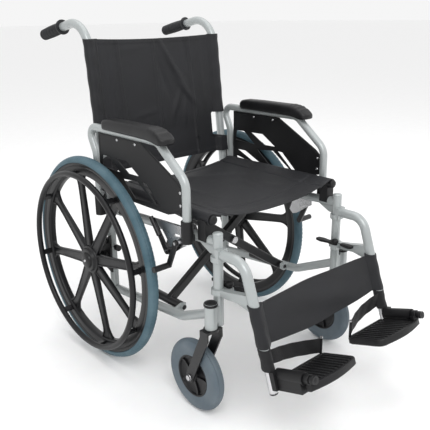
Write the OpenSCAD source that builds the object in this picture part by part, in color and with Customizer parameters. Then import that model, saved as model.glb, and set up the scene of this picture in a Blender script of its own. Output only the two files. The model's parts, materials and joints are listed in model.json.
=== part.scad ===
// Folding manual wheelchair. The chair faces -Y and stands on z = 0.
// +X is the sitter's left. Parts are drawn for the left side and mirrored for the right.
// Inside the modules y = 0 is the rear axle; placed() moves it all to the middle of the footprint.

/* [Frame] */
// Half distance between the two side-frame planes
frame_x = 230; // [190:1:290]
// How far the front posts stand in front of the rear axle
post_y = 481; // [440:1:580]
// Height of the seat rails' centre line
seat_z = 522; // [500:1:560]
// Height of the front posts' top end
post_top = 494; // [480:1:500]
// Height of the front posts' bottom end
post_bottom = 259; // [250:1:270]
// Radius of the frame tubes
tube_r = 12.5; // [10:0.1:15]
// Height where the back posts start to lean back
back_bend_z = 440; // [420:1:460]
// Lean of the back posts
back_lean = 6; // [4:0.5:9]
// Height of the corner between back post and push handle
handle_z = 982; // [940:1:1020]
// Bend radius of the push handle
handle_bend_r = 80; // [60:1:90]
// Droop of the push handle
handle_droop = 11.5; // [0:0.5:20]
// How far the push handle reaches behind the rear axle
handle_y = 300; // [270:1:340]

/* [Rear wheels] */
// Outer radius of the rear tyre
wheel_r = 305; // [280:1:370]
// Half thickness of the rear tyre
tyre_r = 15; // [12:0.5:17]
// Distance from the side-frame plane to the wheel's middle plane
wheel_gap = 59.5; // [57:0.5:80]
// Radius of the rear axle
axle_r = 6; // [5:0.1:8]
// Radius of the handrim's tube
handrim_r = 8.5; // [7:0.5:10]
// Distance from the wheel's middle plane to the handrim's
handrim_x = 43.5; // [38:0.5:60]
// Spokes in each rear wheel
spokes = 8; // [6:1:10]
// How far the wheels stand turned from one spoke straight up
spoke_turn = 10; // [0:1:45]

/* [Casters] */
// Outer radius of the caster tyre
caster_r = 98; // [75:1:112]
// Half width of the caster tyre
caster_tyre_r = 17; // [15:0.5:22]
// Distance from the caster stem back to the caster axle
trail = 60; // [40:1:70]
// Radius of the caster stem
stem_r = 8; // [6:0.1:10]

/* [Fold] */
// Distance from the side-frame plane in to the lower brace pivot
pivot_in = 26; // [25:0.5:60]
// Height of the lower brace pivots
pivot_z = 228; // [220:1:240]
// Radius of the rod in each lower brace pivot
pivot_r = 8; // [6:0.1:9]
// Radius of the seat rails
seat_rail_r = 11; // [9:0.1:12.5]

/* [Footrests] */
// Radius of the hanger tube
hanger_r = 13; // [11:0.1:14]
// Tilt of the hanger's lower run and of the footplate
foot_tilt = 18.5; // [15:0.5:22]
// Width of a footplate, from its hinge to its inner edge
plate_w = 168; // [130:1:170]
// Length of a footplate at its inner edge
plate_l = 109; // [95:1:125]
// Radius of the footplate's hinge pin
pin_r = 5; // [4:0.1:6]

/* [Armrests] */
// Distance from the side-frame plane out to the armrest plane
arm_out = 29; // [28:0.5:36]
// Radius of the armrest tube
arm_r = 11; // [9:0.1:12]
// Height of the armrest tube's top run
arm_z = 692; // [670:1:740]
// Width of the arm pad
pad_w = 48; // [40:1:60]

/* [Hidden] */
$fn = 48;
fit = 0.06;              // radial clearance of a turning or sliding fit
seam = 0.25;             // gap between pieces that touch on the real chair
wheel_x = frame_x + wheel_gap;
seat_x = frame_x - 2;
pivot_x = frame_x - pivot_in;
arm_x = frame_x + arm_out;
arm_y1 = post_y - 78;    // front armrest leg, in front of the axle
arm_y0 = 7;              // rear armrest leg
barrel_r = stem_r + 8;
barrel_x = frame_x + max(tube_r + barrel_r + 1, 29.5);
barrel_y = post_y + 4;
barrel_top = 318;
barrel_bottom = 256;
rail_lo_y = post_y - 143;    // bend in the lower rail
brace_y = [247, 285];        // planes of the two crossing tubes
brace_t = 18;                // brace tube, across
brace_h = 25;                // brace tube, in the plane of the cross
brace_angle = atan2(seat_z - pivot_z, seat_x + pivot_x);
brace_lo = pivot_x / cos(brace_angle);
cross_z = pivot_z + pivot_x * tan(brace_angle);
hang_y = post_y + 89;        // corner of the hanger tube
hang_z = 444;
hinge_x = frame_x - 12;      // footplate hinge
hinge_y = post_y + 232;
hinge_z = 209;
plate_t = 18;                // footplate, and where its top lies in its hinge's own frame
plate_top = -10.5;
brake_y = wheel_r + 47;      // pivot of the brake shoe's arm, in front of the axle
y_front = hinge_y + (plate_l / 2 + 12) * cos(foot_tilt) + (plate_t - plate_top) * sin(foot_tilt);
y_shift = (y_front - max(wheel_r, handle_y + 4)) / 2;

SIDES = ["right", "left"];
PAIRED = ["back_post", "front_post", "upper_rail", "lower_rail", "axle_plate", "hand_grip",
    "seat_saddles", "armrest_sockets", "rear_wheel", "rear_tyre", "handrim", "caster_fork",
    "caster_wheel", "caster_tyre", "footrest_hanger", "footrest_extension", "footplate",
    "footplate_pin", "hanger_latch", "heel_loop", "armrest_tube", "arm_pad", "side_guard",
    "brake_bracket", "brake_lever", "brake_shoe", "seat_sling", "back_upholstery"];

frame_grey = [0.72, 0.74, 0.75];
black = [0.08, 0.08, 0.09];
tyre_blue = [0.29, 0.38, 0.42];

// ---- helpers ----

// Puts a part in the library frame, on the left or mirrored to the right
module placed(side = "left") {
    mirror([side == "right" ? 1 : 0, 0, 0]) translate([0, y_shift, 0]) children();
}

// A straight round bar from p to q
module rod(p, q, r) {
    v = q - p;
    translate(p) rotate([0, acos(v[2] / norm(v)), atan2(v[1], v[0])]) cylinder(r = r, h = norm(v));
}

// Stands a drawing of (y, z) points up in the plane at x, drawn t thick towards +x
module upright(x, t) {
    translate([x, 0, 0]) rotate([90, 0, 90]) linear_extrude(t) children();
}

function heading(p, q) = atan2(q[1] - p[1], q[0] - p[0]);
function turn(p) = let (a = heading(p[1], p[2]) - heading(p[0], p[1]))
    a > 180 ? a - 360 : a < -180 ? a + 360 : a;
function tangent(p, bend) = bend * tan(abs(turn(p)) / 2);
function corner(pts, i) = [pts[i - 1], pts[i], pts[i + 1]];
function unit(v) = v / norm(v);

// A bent tube in the plane at x: straight runs through (y, z) points, with round elbows
module bent_tube(x, pts, bends, r) {
    n = len(pts);
    translate([x, 0, 0]) rotate([90, 0, 90]) {
        for (i = [0 : n - 2]) {
            d = unit(pts[i + 1] - pts[i]);
            a = pts[i] + d * (i == 0 ? 0 : tangent(corner(pts, i), bends[i - 1]) - 1);
            b = pts[i + 1] - d * (i == n - 2 ? 0 : tangent(corner(pts, i + 1), bends[i]) - 1);
            translate([a[0], a[1], 0]) rotate([0, 90, heading(a, b)]) cylinder(r = r, h = norm(b - a));
        }
        for (i = [1 : 1 : n - 2]) {
            c = corner(pts, i);
            t = turn(c);
            s = sign(t);
            h = heading(c[0], c[1]);
            start = pts[i] - tangent(c, bends[i - 1]) * [cos(h), sin(h)];
            mid = start + s * bends[i - 1] * [-sin(h), cos(h)];
            translate([mid[0], mid[1], 0]) rotate([0, 0, h - s * 90 + min(t, 0)])
                rotate_extrude(angle = abs(t)) translate([bends[i - 1], 0]) circle(r - 0.15);
        }
    }
}

// ---- side frame ----

post_low = [-8, 180];
post_knee = [-8, back_bend_z];
post_head = [-8 + (handle_z - back_bend_z) * tan(back_lean), handle_z];
post_tail = [handle_y - 4, handle_z - (handle_y - 4 - post_head[0]) * tan(handle_droop)];
function post_at(z) = z < back_bend_z ? -8 : -8 + (z - back_bend_z) * tan(back_lean);

module back_post() color(frame_grey)
    bent_tube(frame_x, [post_low, post_knee, post_head, post_tail], [120, handle_bend_r], tube_r);

module front_post() {
    color(frame_grey) {
        translate([frame_x, -post_y, post_bottom]) cylinder(r = tube_r, h = post_top - post_bottom);
        difference() {
            union() {
                translate([barrel_x, -barrel_y, barrel_bottom])
                    cylinder(r = barrel_r, h = barrel_top - barrel_bottom);
                translate([frame_x + 6, -barrel_y - 7, barrel_bottom + 10])
                    cube([barrel_x - frame_x - 16, 14, barrel_top - barrel_bottom - 18]);
            }
            translate([barrel_x, -barrel_y, barrel_bottom - 1]) cylinder(r = stem_r + fit, h = 53);
        }
    }
    color(black) translate([barrel_x, -barrel_y, barrel_top]) cylinder(r = barrel_r + 1, h = 6);
}

rail_hi0 = [post_low[0], 449];
rail_hi1 = [-post_y, 472];
rail_lo0 = [post_low[0], 193];
rail_lo1 = [-rail_lo_y, 222];
rail_lo2 = [-post_y, 287];
function rail_hi_at(y) = rail_hi0[1] + (rail_hi1[1] - rail_hi0[1]) * (rail_hi0[0] + y) / (rail_hi0[0] + post_y);

module posts_cut() {
    translate([frame_x, post_low[0], 100]) cylinder(r = tube_r + seam, h = 420);
    translate([frame_x, -post_y, 100]) cylinder(r = tube_r + seam, h = 420);
}

module upper_rail() color(frame_grey) difference() {
    union() {
        bent_tube(frame_x, [rail_hi0, rail_hi1], [], tube_r);
        upright(frame_x - 3, 6) polygon([[-post_y + 8, rail_hi1[1]], [-post_y + 8, rail_hi1[1] - 34],
            [-post_y + 26, rail_hi1[1] - 34], [-post_y + 72, rail_hi1[1] - 10]]);
    }
    posts_cut();
}

pivot_span = [165, 300];     // sleeve of each brace, in front of the axle

module lower_rail() color(frame_grey) {
    difference() {
        union() {
            bent_tube(frame_x, [rail_lo0, rail_lo1, rail_lo2], [60], tube_r);
            for (y = [pivot_span[0] - 6, pivot_span[1] + 1]) translate([0, -y, 0])
                rotate([90, 0, 0]) linear_extrude(5) polygon([[pivot_x - 11, pivot_z - 8],
                    [pivot_x - 11, pivot_z + 9], [pivot_x + 4, pivot_z + 12], [frame_x, pivot_z + 4],
                    [frame_x, pivot_z - 16], [pivot_x + 2, pivot_z - 16]]);
        }
        posts_cut();
    }
    rod([pivot_x, -pivot_span[1] - 12, pivot_z], [pivot_x, -pivot_span[0] + 8, pivot_z], pivot_r);
}

module axle_plate() color(black) {
    x0 = frame_x + tube_r + seam;
    upright(x0, 6) polygon([[-24, wheel_r - 52], [14, wheel_r - 40], [30, wheel_r - 12],
        [30, wheel_r + 12], [8, wheel_r + 46], [-24, wheel_r + 66]]);
    rod([x0 + 5, 0, wheel_r], [wheel_x - 31, 0, wheel_r], 15);
    rod([x0 + 5, 0, wheel_r], [wheel_x + 18, 0, wheel_r], axle_r);
    for (z = [wheel_r - 30, wheel_r + 44])
        rod([x0 + 5, post_low[0], z], [x0 + 11, post_low[0], z], 7);
    knob_y = post_low[0] - tube_r - seam;
    rod([frame_x, knob_y, wheel_r + 26], [frame_x, knob_y - 10, wheel_r + 26], 5);
    rod([frame_x, knob_y - 9, wheel_r + 26], [frame_x, knob_y - 22, wheel_r + 26], 9);
}

grip_len = 122;
module hand_grip() color(black) {
    d = [0, cos(handle_droop), -sin(handle_droop)];
    a = [frame_x, post_tail[0], post_tail[1]];
    difference() {
        union() {
            rod(a - grip_len * d, a + 4 * d, tube_r + 4.5);
            rod(a - grip_len * d, a - (grip_len - 6) * d, tube_r + 9);
        }
        rod(a - (grip_len + 1) * d, a + 0.2 * d, tube_r + seam);
    }
}

module seat_saddles() color(black) for (y = [92, post_y - 41]) {
    z0 = rail_hi_at(y);
    difference() {
        translate([frame_x - 13, -y - 14, z0 - 3]) cube([28, 28, seat_z - z0 + 1]);
        bent_tube(frame_x, [rail_hi0, rail_hi1], [], tube_r + seam);
        rod([seat_x, -y - 20, seat_z], [seat_x, -y + 20, seat_z], seat_rail_r + 0.5);
    }
}

module armrest_sockets() color(black) {
    for (y = [arm_y0, arm_y1]) {
        z0 = rail_hi_at(max(y, 20));
        difference() {
            union() {
                translate([arm_x, -y, z0 - 12]) cylinder(r = arm_r + 4.5, h = 56);
                translate([frame_x + tube_r + seam, -y - 9, z0 - 8])
                    cube([arm_x - frame_x - tube_r - arm_r, 18, 16]);
            }
            translate([arm_x, -y, z0 - 4]) cylinder(r = arm_r + fit, h = 60);
        }
    }
}

// ---- rear wheel ----

rim_out = wheel_r - 19;
rim_in = rim_out - 34;
handrim_at = wheel_r - 44.5;

// Turns a drawing of (radius, x) points about the rear axle
module about_axle(x, z) {
    translate([x, 0, z]) rotate([0, 90, 0]) rotate_extrude($fn = 96) children();
}

module rear_wheel() color(black) {
    difference() {
        union() {
            about_axle(wheel_x, wheel_r) polygon([[rim_in, -10], [rim_in, 10], [rim_in + 6, 13],
                [rim_out, 13], [rim_out, -13], [rim_in + 6, -13]]);
            about_axle(wheel_x, wheel_r) polygon([[0, -28], [19, -28], [22, -14], [30, -6],
                [33, 22], [35, 24], [35, 30], [24, 32], [12, 34], [0, 34]]);
            for (i = [0 : spokes - 1]) translate([wheel_x, 0, wheel_r]) rotate([i * 360 / spokes - spoke_turn, 0, 0])
                translate([9, 0, 26]) rotate([0, -2.4, 0]) translate([-6, 0, 0])
                    rotate([90, 0, 90]) linear_extrude(12) polygon([[-15, 0], [-12, rim_in - 40],
                        [-19, rim_in - 23], [19, rim_in - 23], [12, rim_in - 40], [15, 0]]);
        }
        rod([wheel_x - 30, 0, wheel_r], [wheel_x + 20, 0, wheel_r], axle_r + fit);
    }
}

module rear_tyre() color(tyre_blue) difference() {
    about_axle(wheel_x, wheel_r) translate([wheel_r - tyre_r, 0]) circle(tyre_r);
    rod([wheel_x - 30, 0, wheel_r], [wheel_x + 30, 0, wheel_r], rim_out + seam, $fn = 96);
}

module handrim() color(black) {
    about_axle(wheel_x + handrim_x, wheel_r) translate([handrim_at, 0]) circle(handrim_r);
    for (i = [0 : spokes - 1]) translate([wheel_x, 0, wheel_r]) rotate([i * 360 / spokes - spoke_turn, 0, 0])
        translate([13 + seam, -8, handrim_at - 5]) cube([handrim_x - 13 - handrim_r + 3, 16, 8]);
}

// ---- caster ----

fork_in = caster_tyre_r + 3.5;
crown_z = barrel_bottom - 0.4;

module caster_fork() color(black) {
    translate([barrel_x, -barrel_y, crown_z - 4]) cylinder(r = stem_r, h = 52);
    translate([barrel_x, -barrel_y, crown_z - 8]) cylinder(r = 19, h = 8);
    translate([barrel_x - fork_in - 5, -barrel_y - 14, crown_z - 8]) cube([2 * fork_in + 10, 28, 6]);
    for (s = [-1, 1]) translate([barrel_x + s * (fork_in + 2.5) - 2.5, 0, 0])
        upright(0, 5) difference() {
            polygon([[-barrel_y - 14, crown_z - 2], [-barrel_y + 14, crown_z - 2],
                [-barrel_y + 14, crown_z - 20], [-barrel_y + trail + 13, caster_r + 4],
                [-barrel_y + trail + 10, caster_r - 10], [-barrel_y + trail - 6, caster_r - 14],
                [-barrel_y + trail - 13, caster_r - 4], [-barrel_y - 14, crown_z - 26]]);
        }
    rod([barrel_x - fork_in - 9, -barrel_y + trail, caster_r],
        [barrel_x + fork_in + 9, -barrel_y + trail, caster_r], 5);
    for (s = [-1, 1]) translate([barrel_x + s * (fork_in + 5), -barrel_y + trail, caster_r])
        rotate([0, s * 90, 0]) cylinder(r = 9, h = 5);
}

module about_caster() {
    translate([barrel_x, -barrel_y + trail, caster_r]) rotate([0, 90, 0]) rotate_extrude($fn = 72) children();
}

caster_rim = caster_r - 41;
module caster_wheel() color(black) about_caster() polygon([[5 + fit, -fork_in + 0.8],
    [14, -fork_in + 0.8], [16, -9], [caster_rim - 8, -7], [caster_rim - 5, -15], [caster_rim, -15],
    [caster_rim, 15], [caster_rim - 5, 15], [caster_rim - 8, 7], [16, 9], [14, fork_in - 0.8],
    [5 + fit, fork_in - 0.8]]);

module caster_tyre() color(tyre_blue) about_caster() {
    polygon(concat([[caster_rim + seam, -15], [caster_rim + seam, 15]],
        [for (a = [60 : -12 : -60]) [caster_r - caster_tyre_r * (1 - cos(a)), caster_tyre_r * sin(a) / sin(60)]]));
}

// ---- footrests ----

hang_dir = [-sin(foot_tilt), -cos(foot_tilt)];
function hang_at(z) = [-hang_y - (hang_z - z) * tan(foot_tilt), z];
hang_end = 236;
ring_z = [[424, 13], [338, 14]];

module footrest_hanger() color(frame_grey) {
    difference() {
        union() {
            bent_tube(frame_x, [[-post_y - 8, hang_z], [-hang_y, hang_z], hang_at(hang_end)], [45], hanger_r);
            for (r = ring_z) translate([frame_x, -post_y, r[0]]) cylinder(r = tube_r + 5.5, h = r[1]);
            translate([frame_x - 15, -post_y - 17, 425]) cube([30, 12, 33]);
            upright(frame_x - 9, 18) polygon([[-post_y - 8, 352], [-post_y - 8, 338],
                [-post_y - 40, 338], hang_at(346), hang_at(372), [-post_y - 44, 358]]);
            upright(frame_x - 2, 4) polygon([[-post_y - 42, 342], hang_at(352), hang_at(322),
                [-post_y - 94, 331]]);
            translate([frame_x - 30, -post_y - 24, 338]) cube([20, 18, 14]);
        }
        translate([frame_x, -post_y, 300]) cylinder(r = tube_r + fit, h = 200);
    }
    translate([frame_x - 22, -post_y - 15, 350]) cylinder(r = 3, h = 13);
}

module hanger_latch() color(black) difference() {
    translate([frame_x - 22, -post_y - 15, 352.3]) linear_extrude(7) union() {
        circle(8);
        polygon([[-7, -2], [7, -2], [6, 24], [8, 44], [4, 60], [-8, 62], [-12, 44], [-7, 24]]);
    }
    translate([frame_x - 22, -post_y - 15, 345]) cylinder(r = 3 + fit, h = 20);
}

// The footplate's own frame: its hinge axis is local -y, tilted up towards the front
module foot_frame() {
    translate([hinge_x, -hinge_y, hinge_z]) rotate([-foot_tilt, 0, 0]) children();
}

module footrest_extension() {
    color(frame_grey) rod([frame_x, hang_at(hang_end)[0], hang_end - 0.1],
        [frame_x, hang_at(150)[0], 150], hanger_r - 2.5);
    color(black) foot_frame() difference() {
        union() {
            rod([0, 45, 0], [0, -39, 0], 15);
            translate([-12, -34, -33]) cube([26, 79, 33]);
            translate([4, 38, -32]) cube([18, 14, 44]);
        }
        rod([0, 60, 0], [0, -60, 0], pin_r + fit);
        hanger_bore();
    }
}

// The extension tube's bore in the footplate housing, in the footplate's frame
module hanger_bore() {
    rotate([foot_tilt, 0, 0]) translate([-hinge_x, hinge_y, -hinge_z])
        rod([frame_x, hang_at(hang_end)[0], hang_end], [frame_x, hang_at(120)[0], 120], hanger_r - 2.5 + seam);
}

module footplate_pin() color(black) foot_frame() {
    rod([0, 47, 0], [0, -68, 0], pin_r);
    rod([0, -57, 0], [0, -70, 0], 9.5);
}

module footplate() color(black) foot_frame() difference() {
    union() {
        translate([0, 0, plate_top - plate_t]) linear_extrude(plate_t) polygon(concat(
            [[-16.5, plate_l / 2], [-plate_w, plate_l / 2], [-plate_w, -plate_l / 2 + 16],
             [-plate_w + 6, -plate_l / 2 + 4], [-plate_w + 18, -plate_l / 2 - 2]],
            [for (t = [0.2 : 0.15 : 0.95]) [-plate_w + 18 + (plate_w - 22) * t,
                -plate_l / 2 - 2 - 10 * sin(180 * t)]],
            [[0, -plate_l / 2], [6, -plate_l / 2 + 6], [6, -plate_l / 2 + 14.5], [-16.5, -plate_l / 2 + 14.5]]));
        translate([-16.5, -plate_l / 2, plate_top - plate_t]) cube([22, 14, 22]);
        rod([0, -plate_l / 2 + 14, 0], [0, -plate_l / 2, 0], 12);
    }
    for (i = [0 : 7]) translate([-plate_w + 16 + i * 17, -plate_l / 2 + 8, plate_top - 1.5])
        cube([9, plate_l - 20, 3]);
    rod([0, 0, 0], [0, -60, 0], pin_r + fit);
}

loop_z = 186;
loop_h = 40;
module heel_loop() color(black) {
    a = [frame_x - 17, -post_y - 170];
    b = [hinge_x - plate_w + 9, -hinge_y + 44];
    sag = 10;
    chord = norm(a - b);
    bow = (chord * chord / 4 + sag * sag) / (2 * sag);
    mid = (a + b) / 2;
    across = unit([a[1] - b[1], b[0] - a[0]]);
    up = across[1] > 0 ? across : -across;
    centre = mid - up * (bow - sag);
    half = asin(chord / 2 / bow);
    translate([centre[0], centre[1], loop_z]) rotate([0, 0, atan2(up[1], up[0]) - half])
        rotate_extrude(angle = 2 * half, $fn = 96) translate([bow - 1.5, 0]) square([3, loop_h]);
}

strap_z = [257, 348];
strap_x = frame_x - hanger_r - 1.5;
module calf_strap() color(black) translate([-strap_x, 0, 0]) upright(0, 2 * strap_x) {
    a = hang_at(strap_z[0]);
    b = hang_at(strap_z[1]);
    n = [cos(foot_tilt), -sin(foot_tilt)] * 1.5;
    polygon([a - n, b - n, b + n, a + n]);
}

// ---- armrests ----

arm_pts = [[-arm_y0, 452], [-arm_y0, 618], [28, arm_z], [-arm_y1 + 105, arm_z],
    [-arm_y1, arm_z - 84], [-arm_y1, 466]];
module armrest_tube() color(frame_grey)
    bent_tube(arm_x, arm_pts, [60, 25, 45, 45], arm_r);

module arm_pad() color(black) upright(arm_x - pad_w / 2, pad_w) {
    z = arm_z + arm_r + 2;
    f = -arm_y1;
    polygon([[-64, z], [-64, z + 10], [-80, z + 19], [-140, z + 22], [f + 108, z + 22],
        [f + 78, z + 12], [f + 58, z - 4], [f + 58, z - 15], [f + 66, z - 19], [f + 84, z - 11],
        [f + 100, z]]);
}

// The pad's two sides, which hang past the tube
module arm_pad_sides() color(black) for (s = [-1, 1])
    upright(arm_x + s * (pad_w / 4 + arm_r / 2 + seam / 2) - (pad_w / 2 - arm_r - seam) / 2,
        pad_w / 2 - arm_r - seam) {
        z = arm_z + arm_r + 2;
        f = -arm_y1;
        polygon([[-64, z + 1], [-64, z - 12], [f + 130, z - 12], [f + 84, z - 20], [f + 66, z - 19],
            [f + 58, z - 12], [f + 70, z + 1]]);
    }

module whole_pad() {
    arm_pad();
    arm_pad_sides();
}

guard_t = 3;
module side_guard() color(black) upright(arm_x - guard_t / 2, guard_t) difference() {
    g = arm_r + 0.6;
    r = -arm_y0 - g;
    f = -arm_y1 + g;
    top = arm_z - g;
    polygon([[r - 2, 512], [r - 6, 655], [r - 6, top], [f + 166, top], [f + 18, arm_z - 89],
        [f, arm_z - 104], [f, 531], [f + 60, 512]]);
    polygon([[r - 87, top - 61], [r - 139, top - 60], [r - 194, top - 93], [r - 146, top - 94]]);
    polygon([[r - 20, top - 62], [r - 56, top - 61], [r - 105, top - 98], [r - 14, top - 94]]);
    polygon([[r - 23, top - 125], [r - 62, top - 125], [r - 131, top - 156], [r - 96, top - 156]]);
    polygon([[r - 20, top - 146], [r - 72, top - 156], [r - 23, top - 160]]);
    polygon([[r - 116, top - 113], [r - 185, top - 107], [r - 253, top - 153], [r - 172, top - 158]]);
    polygon([[r - 203, top - 105], [r - 224, top - 106], [r - 278, top - 153], [r - 262, top - 154]]);
}

// ---- brakes ----

brake_at = [-brake_y, rail_hi_at(brake_y) - 26];    // pivot of the shoe's arm
lever_at = [-brake_y + 47, rail_hi_at(brake_y) - 60];   // pivot of the hand lever
shoe_at = [-wheel_r - 16, wheel_r + 67];            // middle of the shoe bar, brake off
bracket_x = frame_x + tube_r + seam;

module brake_bracket() color(frame_grey) {
    h = rail_hi_at(brake_y);
    difference() {
        upright(bracket_x, 4) difference() {
            polygon([[-brake_y + 88, h + 14], [-brake_y - 22, h + 20], [-brake_y - 26, h - 30],
                [-brake_y - 10, h - 38], [-brake_y + 30, h - 66], [-brake_y + 47, h - 72],
                [-brake_y + 60, h - 60], [-brake_y + 48, h - 30]]);
            translate([-brake_y + 6, h - 8]) rotate(-12) square([24, 9], center = true);
        }
    }
    rod([bracket_x + 3, brake_at[0], brake_at[1]], [bracket_x + 19, brake_at[0], brake_at[1]], 4);
    rod([bracket_x + 3, lever_at[0], lever_at[1]], [bracket_x + 12, lever_at[0], lever_at[1]], 4);
}

module brake_lever() color(black) {
    tip = lever_at + [54, 74];
    difference() {
        upright(bracket_x + 4.6, 5) union() {
            translate(lever_at) circle(10);
            polygon([lever_at + [-9, 2], lever_at + [9, -5], tip + [5, -4], tip + [-5, 4]]);
        }
        rod([bracket_x, lever_at[0], lever_at[1]], [bracket_x + 30, lever_at[0], lever_at[1]], 4 + fit);
    }
    rod([bracket_x + 11, lever_at[0] + 26, lever_at[1] + 36], [bracket_x + 11, tip[0] + 4, tip[1] + 5.5], 6);
}

module brake_shoe() color(black) {
    difference() {
        upright(bracket_x + 11, 6) union() {
            translate(brake_at) circle(9);
            polygon([brake_at + [-8, 0], brake_at + [8, 2], shoe_at + [7, 3], shoe_at + [-7, -3]]);
        }
        rod([bracket_x, brake_at[0], brake_at[1]], [bracket_x + 30, brake_at[0], brake_at[1]], 4 + fit);
    }
    rod([bracket_x + 11, shoe_at[0], shoe_at[1]], [wheel_x + tyre_r + 2, shoe_at[0], shoe_at[1]], 8);
}

// ---- cross brace and seat ----

seat_front = post_y - 17;
seat_back = 25;

// Drawn rising from the right pivot to the left seat rail; mirrored for the other one
module brace(y) color(black) {
    run = norm([seat_x + pivot_x, seat_z - pivot_z]);
    difference() {
        union() {
            rod([-pivot_x, -pivot_span[1], pivot_z], [-pivot_x, -pivot_span[0], pivot_z], pivot_r + 4.5);
            translate([-pivot_x, -y, pivot_z]) rotate([0, -brace_angle, 0]) {
                translate([0, -brace_t / 2 + 4, -brace_h / 2]) cube([run, brace_t - 8, brace_h]);
                translate([0, -brace_t / 2, -brace_h / 2 + 4]) cube([run, brace_t, brace_h - 8]);
                for (s = [-1, 1], t = [-1, 1]) translate([0, s * (brace_t / 2 - 4), t * (brace_h / 2 - 4)])
                    rotate([0, 90, 0]) cylinder(r = 4, h = run);
            }
            rod([seat_x, -seat_front, seat_z], [seat_x, -seat_back, seat_z], seat_rail_r);
        }
        rod([-pivot_x, -pivot_span[1] - 1, pivot_z], [-pivot_x, -pivot_span[0] + 1, pivot_z], pivot_r + fit);
        rod([0, -y - 30, cross_z], [0, -y + 30, cross_z], 6 + fit);
    }
}

module brace_pivot_bolt() color([0.6, 0.6, 0.62]) {
    y = [brace_y[0] - brace_t / 2, brace_y[1] + brace_t / 2];
    rod([0, -y[1] - 1, cross_z], [0, -y[0] + 1, cross_z], 6);
    rod([0, -y[1] - 7, cross_z], [0, -y[1] - 0.6, cross_z], 10, $fn = 24);
    rod([0, -y[0] + 0.6, cross_z], [0, -y[0] + 7, cross_z], 10, $fn = 24);
    translate([0, -brace_y[1] + brace_t / 2 + 0.5, cross_z]) rotate([-90, 0, 0])
        difference() {
            cylinder(r = 11, h = brace_y[1] - brace_y[0] - brace_t - 1);
            translate([0, 0, -1]) cylinder(r = 6.2, h = 40);
        }
}

module seat_sling() color(black) translate([seam, -seat_front + 2, seat_z + seat_rail_r + 2 * seam])
    cube([seat_x - 2 * seam, seat_front - seat_back - 4, 4]);

back_z = [552, 924];
module back_upholstery() color(black) upright(0.3, frame_x - tube_r - 1.2) {
    a = [post_at(back_z[0]), back_z[0]];
    b = [post_at(back_z[1]) , back_z[1]];
    polygon([a - [2, 0], b - [2, 0], b + [2, 0], a + [2, 0]]);
}

// ---- assembly ----

placed("right") back_post();  // right_back_post
placed("right") front_post();  // right_front_post
placed("right") upper_rail();  // right_upper_rail
placed("right") lower_rail();  // right_lower_rail
placed("right") axle_plate();  // right_axle_plate
placed("right") hand_grip();  // right_hand_grip
placed("right") seat_saddles();  // right_seat_saddles
placed("right") armrest_sockets();  // right_armrest_sockets
placed("right") rear_wheel();  // right_rear_wheel
placed("right") rear_tyre();  // right_rear_tyre
placed("right") handrim();  // right_handrim
placed("right") caster_fork();  // right_caster_fork
placed("right") caster_wheel();  // right_caster_wheel
placed("right") caster_tyre();  // right_caster_tyre
placed("right") footrest_hanger();  // right_footrest_hanger
placed("right") footrest_extension();  // right_footrest_extension
placed("right") footplate();  // right_footplate
placed("right") footplate_pin();  // right_footplate_pin
placed("right") hanger_latch();  // right_hanger_latch
placed("right") heel_loop();  // right_heel_loop
placed("right") armrest_tube();  // right_armrest_tube
placed("right") whole_pad();  // right_arm_pad
placed("right") side_guard();  // right_side_guard
placed("right") brake_bracket();  // right_brake_bracket
placed("right") brake_lever();  // right_brake_lever
placed("right") brake_shoe();  // right_brake_shoe
placed("right") seat_sling();  // right_seat_sling
placed("right") back_upholstery();  // right_back_upholstery

placed("left") back_post();  // left_back_post
placed("left") front_post();  // left_front_post
placed("left") upper_rail();  // left_upper_rail
placed("left") lower_rail();  // left_lower_rail
placed("left") axle_plate();  // left_axle_plate
placed("left") hand_grip();  // left_hand_grip
placed("left") seat_saddles();  // left_seat_saddles
placed("left") armrest_sockets();  // left_armrest_sockets
placed("left") rear_wheel();  // left_rear_wheel
placed("left") rear_tyre();  // left_rear_tyre
placed("left") handrim();  // left_handrim
placed("left") caster_fork();  // left_caster_fork
placed("left") caster_wheel();  // left_caster_wheel
placed("left") caster_tyre();  // left_caster_tyre
placed("left") footrest_hanger();  // left_footrest_hanger
placed("left") footrest_extension();  // left_footrest_extension
placed("left") footplate();  // left_footplate
placed("left") footplate_pin();  // left_footplate_pin
placed("left") hanger_latch();  // left_hanger_latch
placed("left") heel_loop();  // left_heel_loop
placed("left") armrest_tube();  // left_armrest_tube
placed("left") whole_pad();  // left_arm_pad
placed("left") side_guard();  // left_side_guard
placed("left") brake_bracket();  // left_brake_bracket
placed("left") brake_lever();  // left_brake_lever
placed("left") brake_shoe();  // left_brake_shoe
placed("left") seat_sling();  // left_seat_sling
placed("left") back_upholstery();  // left_back_upholstery

placed("left") brace(brace_y[0]);  // brace_a
placed("right") brace(brace_y[1]);  // brace_b
placed("left") brace_pivot_bolt();
placed("left") calf_strap();
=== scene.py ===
"""Folding manual wheelchair. The chair faces -Y, +Z is up, and everything is in metres."""
import json
import math

import bmesh
import bpy
import numpy as np
from mathutils import Matrix, Vector


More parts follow.
